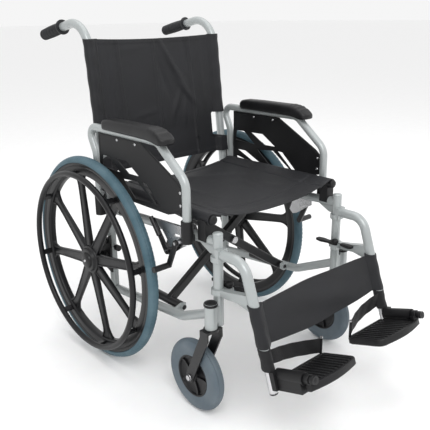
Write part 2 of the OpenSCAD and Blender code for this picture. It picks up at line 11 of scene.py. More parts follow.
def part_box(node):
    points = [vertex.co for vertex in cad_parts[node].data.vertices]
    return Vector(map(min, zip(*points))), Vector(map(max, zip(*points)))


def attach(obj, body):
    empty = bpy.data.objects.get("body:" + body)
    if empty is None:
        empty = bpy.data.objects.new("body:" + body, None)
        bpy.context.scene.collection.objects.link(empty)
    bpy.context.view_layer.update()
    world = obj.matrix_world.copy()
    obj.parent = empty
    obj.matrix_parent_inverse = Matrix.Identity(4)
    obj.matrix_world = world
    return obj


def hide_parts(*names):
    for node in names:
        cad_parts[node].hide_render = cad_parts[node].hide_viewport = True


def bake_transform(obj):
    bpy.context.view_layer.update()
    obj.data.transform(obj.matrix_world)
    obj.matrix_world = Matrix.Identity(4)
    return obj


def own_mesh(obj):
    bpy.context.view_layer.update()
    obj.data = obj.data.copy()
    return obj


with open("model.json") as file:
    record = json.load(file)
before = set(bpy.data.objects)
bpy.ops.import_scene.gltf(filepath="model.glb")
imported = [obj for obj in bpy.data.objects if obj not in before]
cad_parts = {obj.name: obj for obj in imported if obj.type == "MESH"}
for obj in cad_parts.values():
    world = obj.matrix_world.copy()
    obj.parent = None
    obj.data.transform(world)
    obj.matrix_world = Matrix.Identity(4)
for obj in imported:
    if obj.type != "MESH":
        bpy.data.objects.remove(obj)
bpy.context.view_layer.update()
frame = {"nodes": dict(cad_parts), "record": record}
nodes = frame["nodes"]
MM = 0.001
SIDES = (("right", -1), ("left", 1))


# ---------------------------------------------------------------- places read from the frame

def middle(node):
    """The middle of a CAD node's box."""
    low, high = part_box(node)
    return (low + high) / 2


tyre_low, tyre_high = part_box("left_rear_tyre")
axle = (tyre_low + tyre_high) / 2
wheel_r = (tyre_high.z - tyre_low.z) / 2
wheel_x = axle.x
frame_x = middle("left_back_post").x
tube_r = (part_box("left_back_post")[1].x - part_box("left_back_post")[0].x) / 2
LEAN = math.radians(6)  # of the back posts


def at(x, y, z):
    """A point in millimetres, with y counted from the rear axle."""
    return Vector((x * MM, y * MM + axle.y, z * MM))


# ---------------------------------------------------------------- camera

AZIMUTH, ELEVATION, ROLL = math.radians(-41.68), math.radians(18.46), math.radians(-0.83)
DISTANCE = 1.783
target = at(0, -214, 422.5)
back = Vector((math.sin(AZIMUTH) * math.cos(ELEVATION), -math.cos(AZIMUTH) * math.cos(ELEVATION),
               math.sin(ELEVATION)))
camera = bpy.data.objects.new("camera", bpy.data.cameras.new("camera"))
bpy.context.scene.collection.objects.link(camera)
camera.location = target + back * DISTANCE
camera.rotation_mode = "QUATERNION"
roll = Matrix.Rotation(ROLL, 3, "Z").to_quaternion()
camera.rotation_quaternion = (-back).to_track_quat("-Z", "Y") @ roll
camera.data.lens, camera.data.sensor_width = 50.56, 36
bpy.context.scene.camera = camera


# ---------------------------------------------------------------- materials

DARK = 0.03  # blacks below this reflect less


def procedural(name, color, rough, grain=900, grain_bump=0.1, depth=0.0002, spread=0.25,
               metallic=0.0, coat=0.0, sheen=0.0, weave=0.0, scuff=0.0, dust=None):
    """A surface with fine grain, slow colour variation, uneven gloss and worn patches."""
    mat = bpy.data.materials.new(name)
    mat.use_nodes = True
    tree = mat.node_tree
    shader = tree.nodes["Principled BSDF"]
    shader.inputs["Metallic"].default_value = metallic
    shader.inputs["Coat Weight"].default_value = coat
    shader.inputs["Coat Roughness"].default_value = 0.25
    shader.inputs["Sheen Weight"].default_value = sheen
    if max(color) < DARK:
        shader.inputs["Specular IOR Level"].default_value = 0.34
    shader.inputs["Sheen Roughness"].default_value = 0.5

    def node(kind, **values):
        n = tree.nodes.new(kind)
        for key, value in values.items():
            if key in n.inputs:
                n.inputs[key].default_value = value
            else:
                setattr(n, key, value)
        return n

    def link(a, out, b, into):
        tree.links.new(a.outputs[out], b.inputs[into])

    where = node("ShaderNodeTexCoord")
    slow = node("ShaderNodeTexNoise", Scale=14.0, Detail=4.0)
    fine = node("ShaderNodeTexNoise", Scale=float(grain), Detail=3.0)
    link(where, "Object", slow, "Vector")
    link(where, "Object", fine, "Vector")
    tone = node("ShaderNodeValToRGB")
    low = [c * (1 - spread) for c in color]
    high = [min(1, c * (1 + spread)) for c in color]
    if dust:
        high = [c + (d - c) * 0.35 for c, d in zip(high, dust)]
    tone.color_ramp.elements[0].color = (*low, 1)
    tone.color_ramp.elements[0].position = 0.32
    tone.color_ramp.elements[1].color = (*high, 1)
    tone.color_ramp.elements[1].position = 0.72
    link(slow, "Fac", tone, "Fac")
    speck = node("ShaderNodeMix", data_type="RGBA", blend_type="OVERLAY")
    speck.inputs["Factor"].default_value = 0.25
    tree.links.new(tone.outputs["Color"], speck.inputs["A"])
    tree.links.new(fine.outputs["Color"], speck.inputs["B"])
    last = speck.outputs["Result"]
    if scuff:
        worn = node("ShaderNodeTexNoise", Scale=55.0, Detail=8.0, Roughness=0.7)
        link(where, "Object", worn, "Vector")
        mask = node("ShaderNodeMapRange")
        mask.inputs["From Min"].default_value = 0.62
        mask.inputs["From Max"].default_value = 0.74
        mask.inputs["To Max"].default_value = scuff
        link(worn, "Fac", mask, "Value")
        wear = node("ShaderNodeMix", data_type="RGBA")
        wear.inputs["B"].default_value = (*[min(1, c * 1.6 + 0.03) for c in color], 1)
        tree.links.new(mask.outputs["Result"], wear.inputs["Factor"])
        tree.links.new(last, wear.inputs["A"])
        last = wear.outputs["Result"]
    tree.links.new(last, shader.inputs["Base Color"])
    gloss = node("ShaderNodeMapRange")
    gloss.inputs["To Min"].default_value = max(0.05, rough - 0.08)
    gloss.inputs["To Max"].default_value = min(1, rough + 0.1)
    link(slow, "Fac", gloss, "Value")
    link(gloss, "Result", shader, "Roughness")
    height = fine.outputs["Fac"]
    if weave:
        for axis, angle in ((0, 0.0), (1, math.pi / 2)):
            turn = node("ShaderNodeMapping")
            turn.inputs["Rotation"].default_value = (0.0, angle, 0.3 * axis)
            link(where, "Object", turn, "Vector")
            yarn = node("ShaderNodeTexWave", Scale=float(weave), Distortion=0.4)
            link(turn, "Vector", yarn, "Vector")
            total = node("ShaderNodeMath", operation="ADD")
            tree.links.new(height, total.inputs[0])
            tree.links.new(yarn.outputs["Fac"], total.inputs[1])
            height = total.outputs["Value"]
    bump = node("ShaderNodeBump", Strength=grain_bump, Distance=depth)
    tree.links.new(height, bump.inputs["Height"])
    link(bump, "Normal", shader, "Normal")
    return mat


MATERIALS = {
    "frame_paint": procedural("frame_paint", (0.36, 0.385, 0.385), 0.36, 2200, 0.12, spread=0.06,
                              metallic=0.25, coat=0.45, scuff=0.12),
    "black_paint": procedural("black_paint", (0.0060, 0.0060, 0.0068), 0.38, 1500, 0.25, spread=0.3,
                              coat=0.2, scuff=0.08),
    "black_plastic": procedural("black_plastic", (0.0060, 0.0060, 0.0068), 0.50, 1100, 0.5,
                                spread=0.3, scuff=0.06),
    "wheel_plastic": procedural("wheel_plastic", (0.0052, 0.0052, 0.0062), 0.36, 1300, 0.25,
                                spread=0.3, scuff=0.07),
    "tyre_rubber": procedural("tyre_rubber", (0.040, 0.098, 0.130), 0.58, 800, 0.5, spread=0.15,
                              dust=(0.15, 0.20, 0.22), scuff=0.10),
    "caster_rubber": procedural("caster_rubber", (0.085, 0.115, 0.140), 0.60, 800, 0.5, spread=0.12,
                                dust=(0.18, 0.20, 0.21), scuff=0.10),
    "grip_rubber": procedural("grip_rubber", (0.014, 0.015, 0.017), 0.42, 1000, 0.5, spread=0.3),
    "pad_foam": procedural("pad_foam", (0.0065, 0.0065, 0.0075), 0.42, 650, 0.7, 0.0004,
                           spread=0.25, scuff=0.08),
    "nylon": procedural("nylon", (0.0078, 0.0082, 0.0104), 0.50, 1400, 0.45, 0.00025, spread=0.22,
                        sheen=0.04, weave=260),
    "webbing": procedural("webbing", (0.0068, 0.0068, 0.0080), 0.62, 1200, 0.6, 0.0004, spread=0.3,
                          sheen=0.05, weave=180),
    "steel": procedural("steel", (0.55, 0.55, 0.56), 0.26, 1800, 0.15, spread=0.08, metallic=1.0),
}


# ---------------------------------------------------------------- mesh helpers

def piece(name, verts, faces, body, slot, sharp=35, replaces=(), look=None):
    """A finished mesh that rides on a body, smooth apart from edges sharper than the angle."""
    mesh = bpy.data.meshes.new(name)
    mesh.from_pydata([tuple(v) for v in verts], [], [tuple(f) for f in faces])
    mesh.validate()
    bm = bmesh.new()
    bm.from_mesh(mesh)
    bmesh.ops.remove_doubles(bm, verts=bm.verts, dist=1e-6)
    bmesh.ops.recalc_face_normals(bm, faces=bm.faces)
    bm.to_mesh(mesh)
    bm.free()
    mesh.shade_smooth()
    mesh.set_sharp_from_angle(angle=math.radians(sharp))
    mesh.materials.append(MATERIALS[look or slot])
    obj = bpy.data.objects.new(name, mesh)
    bpy.context.scene.collection.objects.link(obj)
    if body:
        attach(obj, body)
    if replaces:
        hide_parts(*replaces)
    return obj


def joined(*parts):
    """Several (verts, faces) as one."""
    verts, faces = [], []
    for v, f in parts:
        faces += [[i + len(verts) for i in face] for face in f]
        verts += [Vector(p) for p in v]
    return verts, faces


def moved(part, matrix):
    """(verts, faces) placed by a matrix."""
    return [matrix @ Vector(p) for p in part[0]], part[1]


def lathe(profile, steps=96, closed=True):
    """Turns (radius, x) points about the X axis. A profile that starts and ends on the axis is capped."""
    verts, faces = [], []
    n = len(profile)
    for i in range(steps):
        a = 2 * math.pi * i / steps
        verts += [Vector((x, r * math.cos(a), r * math.sin(a))) for r, x in profile]
    for i in range(steps):
        j = (i + 1) % steps
        for k in range(n if closed else n - 1):
            m = (k + 1) % n
            faces.append((i * n + k, j * n + k, j * n + m, i * n + m))
    return verts, faces


def loft(rings, cap=True):
    """Skins a row of equal closed rings."""
    verts = [Vector(p) for ring in rings for p in ring]
    n = len(rings[0])
    faces = []
    for i in range(len(rings) - 1):
        for k in range(n):
            m = (k + 1) % n
            faces.append((i * n + k, i * n + m, (i + 1) * n + m, (i + 1) * n + k))
    if cap:
        faces.append(tuple(reversed(range(n))))
        faces.append(tuple(range((len(rings) - 1) * n, len(rings) * n)))
    return verts, faces


def sweep(path, radius, sides=12, loop=False):
    """A round bead along a path of points."""
    path = [Vector(p) for p in path]
    rings = []
    up = Vector((0.13, 0.29, 0.95)).normalized()
    n = len(path)
    for i, p in enumerate(path):
        a = path[(i - 1) % n] if loop or i else p
        b = path[(i + 1) % n] if loop or i < n - 1 else p
        d = (b - a).normalized()
        u = (up - d * up.dot(d)).normalized()
        w = d.cross(u)
        up = u
        rings.append([p + u * radius * math.cos(t) + w * radius * math.sin(t)
                      for t in (2 * math.pi * k / sides for k in range(sides))])
    if loop:
        rings.append(rings[0])
    return loft(rings, cap=not loop)


def rounded_box(width, height, corner, steps=5):
    """A closed outline of a rectangle with round corners, round (0, 0)."""
    points = []
    for cx, cy, start in ((1, 1, 0), (-1, 1, 90), (-1, -1, 180), (1, -1, 270)):
        for k in range(steps):
            a = math.radians(start + 90 * k / (steps - 1))
            points.append((cx * (width / 2 - corner) + corner * math.cos(a),
                           cy * (height / 2 - corner) + corner * math.sin(a)))
    return points


def grid(rows):
    """An open sheet through rows of points."""
    n = len(rows[0])
    verts = [Vector(p) for row in rows for p in row]
    faces = [(i * n + k, i * n + k + 1, (i + 1) * n + k + 1, (i + 1) * n + k)
             for i in range(len(rows) - 1) for k in range(n - 1)]
    return verts, faces


def thicken(part, thickness):
    """Gives an open sheet a thickness, half on each side, with closed edges."""
    mesh = bpy.data.meshes.new("sheet")
    mesh.from_pydata([tuple(v) for v in part[0]], [], part[1])
    normals = [v.normal.copy() for v in mesh.vertices]
    bm = bmesh.new()
    bm.from_mesh(mesh)
    border = [tuple(v.index for v in e.verts) for e in bm.edges if e.is_boundary]
    bm.free()
    n = len(part[0])
    verts = [Vector(p) + normals[i] * thickness / 2 for i, p in enumerate(part[0])]
    verts += [Vector(p) - normals[i] * thickness / 2 for i, p in enumerate(part[0])]
    faces = [tuple(f) for f in part[1]] + [tuple(i + n for i in reversed(f)) for f in part[1]]
    faces += [(a, b, b + n, a + n) for a, b in border]
    bpy.data.meshes.remove(mesh)
    return verts, faces


def length_of(points):
    """The length of a line through points."""
    return sum((b - a).length for a, b in zip(points, points[1:]))


def stitches(path, size=0.0028, pitch=0.0052, height=0.0007):
    """A row of short raised threads along a path."""
    out = []
    total = length_of(path)
    count = int(total / pitch)
    marks = [(k + 0.5) * total / count for k in range(count)]
    run, i = 0.0, 0
    for mark in marks:
        while i < len(path) - 2 and run + (path[i + 1] - path[i]).length < mark:
            run += (path[i + 1] - path[i]).length
            i += 1
        d = (path[i + 1] - path[i]).normalized()
        p = path[i] + d * (mark - run)
        out.append(sweep([p - d * size / 2, p - d * size / 4, p + d * size / 4, p + d * size / 2],
                         height, sides=6))
    return joined(*out)


def turned(direction):
    """The turn that takes the X axis to a direction."""
    return Vector((1, 0, 0)).rotation_difference(Vector(direction)).to_matrix().to_4x4()


def screw(centre, direction, radius=0.0045, height=0.0022):
    """A domed screw head with a small recess, facing along a direction."""
    dome = [(radius * math.cos(a), height * math.sin(a)) for a in
            (math.pi / 2 * k / 5 for k in range(6))]
    dome[-1] = (radius * 0.36, height)
    profile = [(radius, -0.001)] + dome + [(radius * 0.3, height * 0.45), (0.0, height * 0.45)]
    return moved(lathe(profile, 20, closed=False), Matrix.Translation(centre) @ turned(direction))


# ---------------------------------------------------------------- CAD nodes that stay

for entry in frame["record"]["subparts"]:
    cad = nodes[entry["node"]]
    cad.data.materials.clear()
    cad.data.materials.append(MATERIALS[entry["material_slot"]])


# ---------------------------------------------------------------- rear wheels

RIM_IN, RIM_OUT, SPOKES = wheel_r - 0.053, wheel_r - 0.019, 8
SPOKE_TURN = math.radians(10)


def rear_tyre():
    """Solid tyre: a round section with two grooves, and fine ribs across its crown."""
    half = wheel_x - tyre_low.x
    middle_r = wheel_r - half
    profile = [(RIM_OUT + 0.0003, -0.0105), (RIM_OUT + 0.0003, 0.0105)]
    for k in range(41):
        a = math.radians(118 - 236 * k / 40)
        r = half - (0.0009 if k in (17, 23) else 0.0)
        profile.append((middle_r + r * math.cos(a), r * math.sin(a)))
    profile = [p for p in profile if p[0] > RIM_OUT]
    verts, faces = lathe(profile, 432)
    count = len(profile)
    for i, p in enumerate(verts):
        if (i // count) % 3 == 0 and math.hypot(p.y, p.z) > wheel_r - 0.010:
            shrink = 1 - 0.0013 / math.hypot(p.y, p.z)
            verts[i] = Vector((p.x, p.y * shrink, p.z * shrink))
    return verts, faces


def rear_wheel():
    """Moulded wheel: rim channel, hub with a domed cap, and spokes that flare into both."""
    rim = lathe([(RIM_IN, -0.0085), (RIM_IN - 0.001, -0.006), (RIM_IN - 0.001, 0.006),
                 (RIM_IN, 0.0085), (RIM_IN + 0.003, 0.0112), (RIM_IN + 0.006, 0.0122),
                 (RIM_OUT - 0.010, 0.0110), (RIM_OUT - 0.006, 0.0128), (RIM_OUT, 0.0130),
                 (RIM_OUT, -0.0130), (RIM_OUT - 0.006, -0.0128), (RIM_OUT - 0.010, -0.0110),
                 (RIM_IN + 0.006, -0.0122), (RIM_IN + 0.003, -0.0112)], 128)
    hub = lathe([(0.0061, -0.028), (0.017, -0.028), (0.019, -0.026), (0.021, -0.014),
                 (0.030, -0.006), (0.041, -0.002), (0.043, 0.001), (0.043, 0.013), (0.041, 0.017),
                 (0.036, 0.0185), (0.034, 0.0220), (0.0325, 0.0245), (0.028, 0.0255),
                 (0.0245, 0.0255), (0.0235, 0.0270), (0.0225, 0.0300), (0.018, 0.0325),
                 (0.010, 0.0338), (0.0061, 0.0340)], 64)
    parts = [rim, hub]
    stations = ((0.026, 0.0180, 0.0080, 0.009), (0.050, 0.0170, 0.0075, 0.008),
                (0.090, 0.0158, 0.0068, 0.006), (0.140, 0.0146, 0.0062, 0.004),
                (0.190, 0.0136, 0.0058, 0.002), (0.218, 0.0138, 0.0058, 0.001),
                (0.232, 0.0165, 0.0062, 0.0), (0.244, 0.0230, 0.0070, 0.0),
                (0.2535, 0.0360, 0.0078, 0.0))
    for i in range(SPOKES):
        turn = Matrix.Rotation(2 * math.pi * i / SPOKES - SPOKE_TURN, 4, "X")
        rings = []
        for r, width, depth, x in stations:
            rings.append([turn @ Vector((x + px * depth, py * width, r)) for px, py in
                          ((1.0, -0.72), (0.62, -0.60), (0.62, 0.60), (1.0, 0.72), (0.78, 0.93),
                           (0.3, 1.0), (-0.3, 1.0), (-0.78, 0.93), (-1.0, 0.72), (-0.62, 0.60),
                           (-0.62, -0.60), (-1.0, -0.72), (-0.78, -0.93), (-0.3, -1.0),
                           (0.3, -1.0), (0.78, -0.93))])
        parts.append(loft(rings))
    return joined(*parts)


for side, k in SIDES:
    place = Matrix.Translation((k * wheel_x, axle.y, axle.z)) @ Matrix.Diagonal((k, 1, 1, 1))
    piece(side + "_tyre_tread", *moved(rear_tyre(), place), side + "_wheel", "tyre_rubber",
          sharp=50, replaces=[side + "_rear_tyre"])
    piece(side + "_moulded_wheel", *moved(rear_wheel(), place), side + "_wheel", "wheel_plastic",
          sharp=28, replaces=[side + "_rear_wheel"])
    bolt = lathe([(0.0, 0.0352), (0.003, 0.0352), (0.0048, 0.0338), (0.0052, 0.0325)], 6, False)
    piece(side + "_hub_centre", *moved(bolt, place), side + "_wheel", "steel")


# ---------------------------------------------------------------- casters

caster_low, caster_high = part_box("left_caster_tyre")
caster = (caster_low + caster_high) / 2
caster_r = (caster_high.z - caster_low.z) / 2
caster_half = (caster_high.x - caster_low.x) / 2
CASTER_RIM = caster_r - 0.041


def caster_tyre():
    """Solid tyre with a crowned tread and two grooves round it."""
    profile = [(CASTER_RIM + 0.0003, -0.0150), (CASTER_RIM + 0.0003, 0.0150)]
    for i in range(41):
        t = 1 - i / 20
        x = caster_half * math.sin(math.radians(86 * t)) / math.sin(math.radians(86))
        r = caster_r - 0.017 * (1 - math.cos(math.radians(86 * t)))
        groove = max(0.0, 1 - abs(abs(x) - 0.0062) / 0.0020)
        profile.append((r - 0.0022 * min(1.0, groove * 1.6), x))
    return lathe(profile, 112)


def caster_wheel():
    """Dished moulded wheel with ribs and a bearing boss."""
    half = (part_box("left_caster_wheel")[1].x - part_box("left_caster_wheel")[0].x) / 2
    web = lathe([(0.0051, -half), (0.012, -half), (0.0135, -half + 0.0015), (0.016, -0.0095),
                 (0.024, -0.0075), (CASTER_RIM - 0.012, -0.0065), (CASTER_RIM - 0.006, -0.010),
                 (CASTER_RIM - 0.004, -0.0145), (CASTER_RIM - 0.002, -0.0155), (CASTER_RIM, -0.015),
                 (CASTER_RIM, 0.015), (CASTER_RIM - 0.002, 0.0155), (CASTER_RIM - 0.004, 0.0145),
                 (CASTER_RIM - 0.006, 0.010), (CASTER_RIM - 0.012, 0.0065), (0.024, 0.0075),
                 (0.016, 0.0095), (0.0135, half - 0.0015), (0.012, half), (0.0051, half)], 80)
    parts = [web]
    for i in range(5):
        turn = Matrix.Rotation(2 * math.pi * (i + 0.25) / 5, 4, "X")
        rings = [[turn @ Vector((px * w, py, r)) for px, py in rounded_box(2, 0.0066, 0.0015, 3)]
                 for r, w in ((0.012, 0.0135), (0.030, 0.0115), (0.043, 0.0110), (0.053, 0.0135))]
        parts.append(loft(rings))
    return joined(*parts)


for side, k in SIDES:
    place = Matrix.Translation((k * caster.x, caster.y, caster.z)) @ Matrix.Diagonal((k, 1, 1, 1))
    piece(side + "_caster_tread", *moved(caster_tyre(), place), side + "_caster", "tyre_rubber",
          sharp=60, replaces=[side + "_caster_tyre"], look="caster_rubber")
    piece(side + "_caster_hub", *moved(caster_wheel(), place), side + "_caster", "wheel_plastic",
          replaces=[side + "_caster_wheel"])
    fork_low, fork_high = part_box(side + "_caster_fork")
    nuts = []
    for s in (-1, 1):
        face = fork_high.x if s > 0 else fork_low.x
        nut = lathe([(0.0, 0.0012), (0.0045, 0.001), (0.0075, -0.0002), (0.0092, -0.0022),
                     (0.0094, -0.0042)], 32, False)
        nuts.append(moved(nut, Matrix.Translation((face, caster.y, caster.z))
                          @ Matrix.Diagonal((s, 1, 1, 1))))
    piece(side + "_caster_nuts", *joined(*nuts), side + "_caster_fork", "steel")


# ---------------------------------------------------------------- push grips

DROOP = math.radians(11.5)
grip_dir = Vector((0, math.cos(DROOP), -math.sin(DROOP)))
grip_low, grip_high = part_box("left_hand_grip")
GRIP = 0.126
grip_end = Vector((frame_x, grip_high.y - 0.0034, grip_low.z + 0.0167))


def push_grip():
    """Soft grip: flange, ribbed body with a swell in the middle, and a round end with a vent."""
    profile = [(tube_r + 0.0003, 0.0), (0.0205, 0.0), (0.0213, 0.0012), (0.0213, 0.0046),
               (0.0204, 0.006), (0.0175, 0.0072)]
    for i in range(90):
        x = 0.008 + (GRIP - 0.016) * i / 89
        swell = 0.0152 + 0.0012 * math.sin(math.pi * (x / GRIP)) ** 2
        profile.append((swell + 0.0009 * math.sin(2 * math.pi * x / 0.0058), x))
    for i in range(7):
        a = math.pi / 2 * i / 6
        profile.append((0.0060 + 0.0092 * math.cos(a), GRIP - 0.008 + 0.008 * math.sin(a)))
    profile += [(0.004, GRIP - 0.0004), (0.0035, GRIP - 0.003), (0.0, GRIP - 0.003)]
    return lathe(profile, 64, closed=False)


for side, k in SIDES:
    end = Vector((k * grip_end.x, grip_end.y, grip_end.z))
    place = Matrix.Translation(end - grip_dir * GRIP) @ turned(grip_dir)
    piece(side + "_push_grip", *moved(push_grip(), place), side + "_frame", "grip_rubber",
          sharp=50, replaces=[side + "_hand_grip"])


# ---------------------------------------------------------------- end plugs, bolts and screws

def plug(centre, direction, radius):
    """A domed plastic plug in a tube's end."""
    r = radius
    profile = [(r - 0.0004, -0.004), (r + 0.0004, -0.002), (r + 0.0004, 0.0012),
               (r - 0.0008, 0.0030), (r * 0.7, 0.0044), (r * 0.3, 0.0050), (0.0, 0.0051)]
    return moved(lathe(profile, 36, closed=False), Matrix.Translation(centre) @ turned(direction))


seat_low, seat_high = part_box("brace_a")
RAIL_R = 0.011
rail_x = seat_high.x - RAIL_R
rail_z = seat_high.z - RAIL_R
rail_front = seat_low.y
rail_back = seat_high.y
caster_barrel = at(259.5, -485, 320.5)
post_y = at(0, -481, 0).y
UP = Vector((0, 0, 1))

for side, k in SIDES:
    body = side + "_frame"
    low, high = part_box(side + "_front_post")
    x = k * frame_x
    piece(side + "_post_plugs", *joined(plug((x, post_y, high.z - 0.0016), UP, tube_r - 0.0002),
                                        plug((x, post_y, low.z), -UP, tube_r)),
          body, "frame_paint")
    cap = [(0.0172, -0.0040), (0.0178, -0.0028), (0.0178, 0.0010), (0.0170, 0.0030), (0.0140, 0.0052),
           (0.0080, 0.0068), (0.0, 0.0074)]
    cap = moved(lathe(cap, 48, closed=False),
                Matrix.Translation((k * caster_barrel.x, caster_barrel.y, caster_barrel.z)) @ turned(UP))
    piece(side + "_barrel_cap", *cap, body, "black_plastic")
    brace = "brace_b" if side == "right" else "brace_a"
    piece(side + "_rail_plugs", *joined(
        plug((k * rail_x, rail_front, rail_z), (0, -1, 0), RAIL_R),
        plug((k * rail_x, rail_back, rail_z), (0, 1, 0), RAIL_R)), brace, "black_plastic")
    ear = at(k * 204, -312, 228)
    piece(side + "_ear_bolts", *screw(ear, (0, -1, 0), 0.0070, 0.0035), body, "black_paint")


# ---------------------------------------------------------------- arm pads

def arm_pad(side, k):
    """Moulded foam pad over the tube: flat, then dropping and widening to a rippled tip."""
    low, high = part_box(side + "_arm_pad")
    x, half, long = (low.x + high.x) / 2, (high.x - low.x) / 2, high.y - low.y
    crown = ((0.0, 0.010, 0.030, 0.090, 0.225, 0.246, 0.262, 0.275, 1.0),
             (-0.011, -0.005, -0.0015, 0.0, 0.0, -0.004, -0.012, -0.021, -0.031))
    hem = ((0.0, 0.209, 0.236, 0.255, 0.273, 1.0), (-0.033, -0.034, -0.037, -0.041, -0.040, -0.036))
    rings = []
    stations = 72
    for i in range(stations + 1):
        t = i / stations
        run = long * t
        top_z = high.z + float(np.interp(run, *crown))
        low_z = high.z + float(np.interp(run, *hem))
        end = min(1.0, min(t, 1 - t) * long / 0.016)
        round_end = math.sqrt(max(0.02, 1 - (1 - end) ** 2))
        spread = 0.84 + 0.16 * min(1.0, max(0.0, (t - 0.55) / 0.3))
        width = half * spread * (0.35 + 0.65 * round_end)
        mid, tall = (top_z + low_z) / 2, (top_z - low_z) / 2 * (0.55 + 0.45 * round_end)
        ripple = 0.0009 * math.sin((t - 0.72) * 130) if 0.76 < t < 0.95 else 0.0
        ring = []
        for j in range(32):
            a = 2 * math.pi * j / 32
            c, s = math.cos(a), math.sin(a)
            px = width * math.copysign(abs(c) ** 0.5, c)
            pz = tall * math.copysign(abs(s) ** (0.7 if s > 0 else 0.4), s)
            if s > 0:
                pz += ripple * s
            ring.append(Vector((x + px, high.y - run, mid + pz)))
        rings.append(ring)
    return loft(rings)


for side, k in SIDES:
    pad = piece(side + "_foam_pad", *arm_pad(side, k), side + "_armrest", "pad_foam", sharp=70,
                replaces=[side + "_arm_pad"])


# ---------------------------------------------------------------- side guards' beads and screws

for side, k in SIDES:
    low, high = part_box(side + "_side_guard")
    x = (low.x + high.x) / 2
    y0, y1, z0, z1 = high.y, low.y, low.z, high.z
    rim = [(y0 - 0.005, z0 + 0.004), (y0 - 0.009, z1 - 0.024), (y0 - 0.009, z1 - 0.004),
           (y1 + 0.1645, z1 - 0.004), (y1 + 0.0200, z1 - 0.0812), (y1 + 0.004, z1 - 0.0945),
           (y1 + 0.004, z0 + 0.021), (y1 + 0.061, z0 + 0.004)]
    path = []
    for i, p in enumerate(rim):
        a, b = Vector(rim[i - 1]), Vector(rim[(i + 1) % len(rim)])
        p = Vector(p)
        cut = min(0.008, (p - a).length / 3, (b - p).length / 3)
        start, end = p + (a - p).normalized() * cut, p + (b - p).normalized() * cut
        for j in range(5):
            t = j / 4
            q = start * (1 - t) ** 2 + p * 2 * t * (1 - t) + end * t * t
            path.append((x, q.x, q.y))
    piece(side + "_guard_trim", *sweep(path, 0.0026, 10, loop=True), side + "_armrest",
          "black_plastic")
    heads = [screw((x + d * 0.0016, y, z), (d, 0, 0), 0.0042, 0.0024) for d in (-1, 1)
             for y, z in ((y0 - 0.097, z1 - 0.010), (y0 - 0.180, z1 - 0.010), (y1 + 0.010, z1 - 0.102),
                          (y1 + 0.010, z0 + 0.034))]
    piece(side + "_guard_screws", *joined(*heads), side + "_armrest", "steel")


# ---------------------------------------------------------------- footplates

TILT = math.radians(18.5)
hinge_at = at(218, -713, 209)


def foot_frame(k):
    """The footplate's own frame: its hinge runs along y and its surface faces z."""
    return (Matrix.Translation((k * hinge_at.x, hinge_at.y, hinge_at.z))
            @ Matrix.Diagonal((k, 1, 1, 1)) @ Matrix.Rotation(-TILT, 4, "X"))


def plate_outline(grow=0.0):
    """The footplate seen from above, in its own frame, shrunk or grown at its edges."""
    wide, half = 0.168 + grow, 0.0545 + grow
    points = []
    for a in range(0, 91, 15):
        r = 0.012
        points.append((-wide + r - r * math.sin(math.radians(a)),
                       half - r + r * math.cos(math.radians(a))))
    for a in range(0, 91, 15):
        r = 0.020
        points.append((-wide + r - r * math.cos(math.radians(a)),
                       -half + r - 0.002 - r * math.sin(math.radians(a))))
    for t in np.linspace(0.08, 0.94, 12):
        points.append((-wide + 0.020 + (wide - 0.024) * t,
                       -half - 0.002 - 0.0095 * math.sin(math.pi * t)))
    points += [(0.001 + grow, -half), (0.005 + grow, -half + 0.005), (0.005 + grow, -half + 0.0140 - grow),
               (-0.0165 + grow, -half + 0.0145 - grow), (-0.0165 + grow, half)]
    return points


def footplate():
    """Moulded plate with a rolled rim, rows of ribs on top and stiffening ribs below."""
    top, thick = -0.0105, 0.018
    outline = plate_outline()
    inner = plate_outline(-0.0055)
    levels = ((outline, top - thick, 0.955), (outline, top - thick + 0.003, 1.0), (outline, top - 0.003, 1.0),
              (outline, top - 0.0008, 0.990), (outline, top, 0.975),
              (inner, top - 0.0003, 0.998), (inner, top - 0.0022, 0.985))
    centre = Vector((-0.085, -0.004))
    rings = []
    for shape, z, scale in levels:
        rings.append([Vector((centre.x + (px - centre.x) * scale, centre.y + (py - centre.y) * scale, z))
                      for px, py in shape])
    parts = [loft(rings)]
    for i in range(11):
        x = -0.156 + i * 0.0128
        ring = rounded_box(0.0052, 0.0036, 0.0016, 4)
        bulge = 0.006 * math.sin(math.pi * min(1.0, max(0.0, (x + 0.168) / 0.168)))
        ends = ((0.044, 0.2), (0.043, 0.8), (0.041, 1.0), (-0.043 - bulge, 1.0),
                (-0.045 - bulge, 0.8), (-0.046 - bulge, 0.2))
        parts.append(loft([[Vector((x + px * s, y, top - 0.0016 + pz * s)) for px, pz in ring]
                           for y, s in ends]))
    for y in (0.030, 0.0, -0.030):
        ring = rounded_box(0.150, 0.006, 0.002, 4)
        parts.append(loft([[Vector((-0.088 + px * s, y + py * s, z)) for px, py in ring]
                           for z, s in ((top - thick - 0.0016, 0.97), (top - thick + 0.002, 1.0))]))
    lug = [[Vector((0.0 + 0.012 * math.cos(a), y, 0.012 * math.sin(a))) for a in
            (2 * math.pi * j / 28 for j in range(28))] for y in
           (-0.0405, -0.0415, -0.0540, -0.0548)]
    lug[0] = [Vector((p.x * 0.93, p.y, p.z * 0.93)) for p in lug[0]]
    lug[-1] = [Vector((p.x * 0.93, p.y, p.z * 0.93)) for p in lug[-1]]
    parts.append(loft(lug))
    arm = rounded_box(0.0215, 0.0125, 0.002, 4)
    parts.append(loft([[Vector((-0.0058 + px, -0.0478 + py, z)) for px, py in arm]
                       for z in (-0.027, -0.010, 0.0)]))
    return joined(*parts)


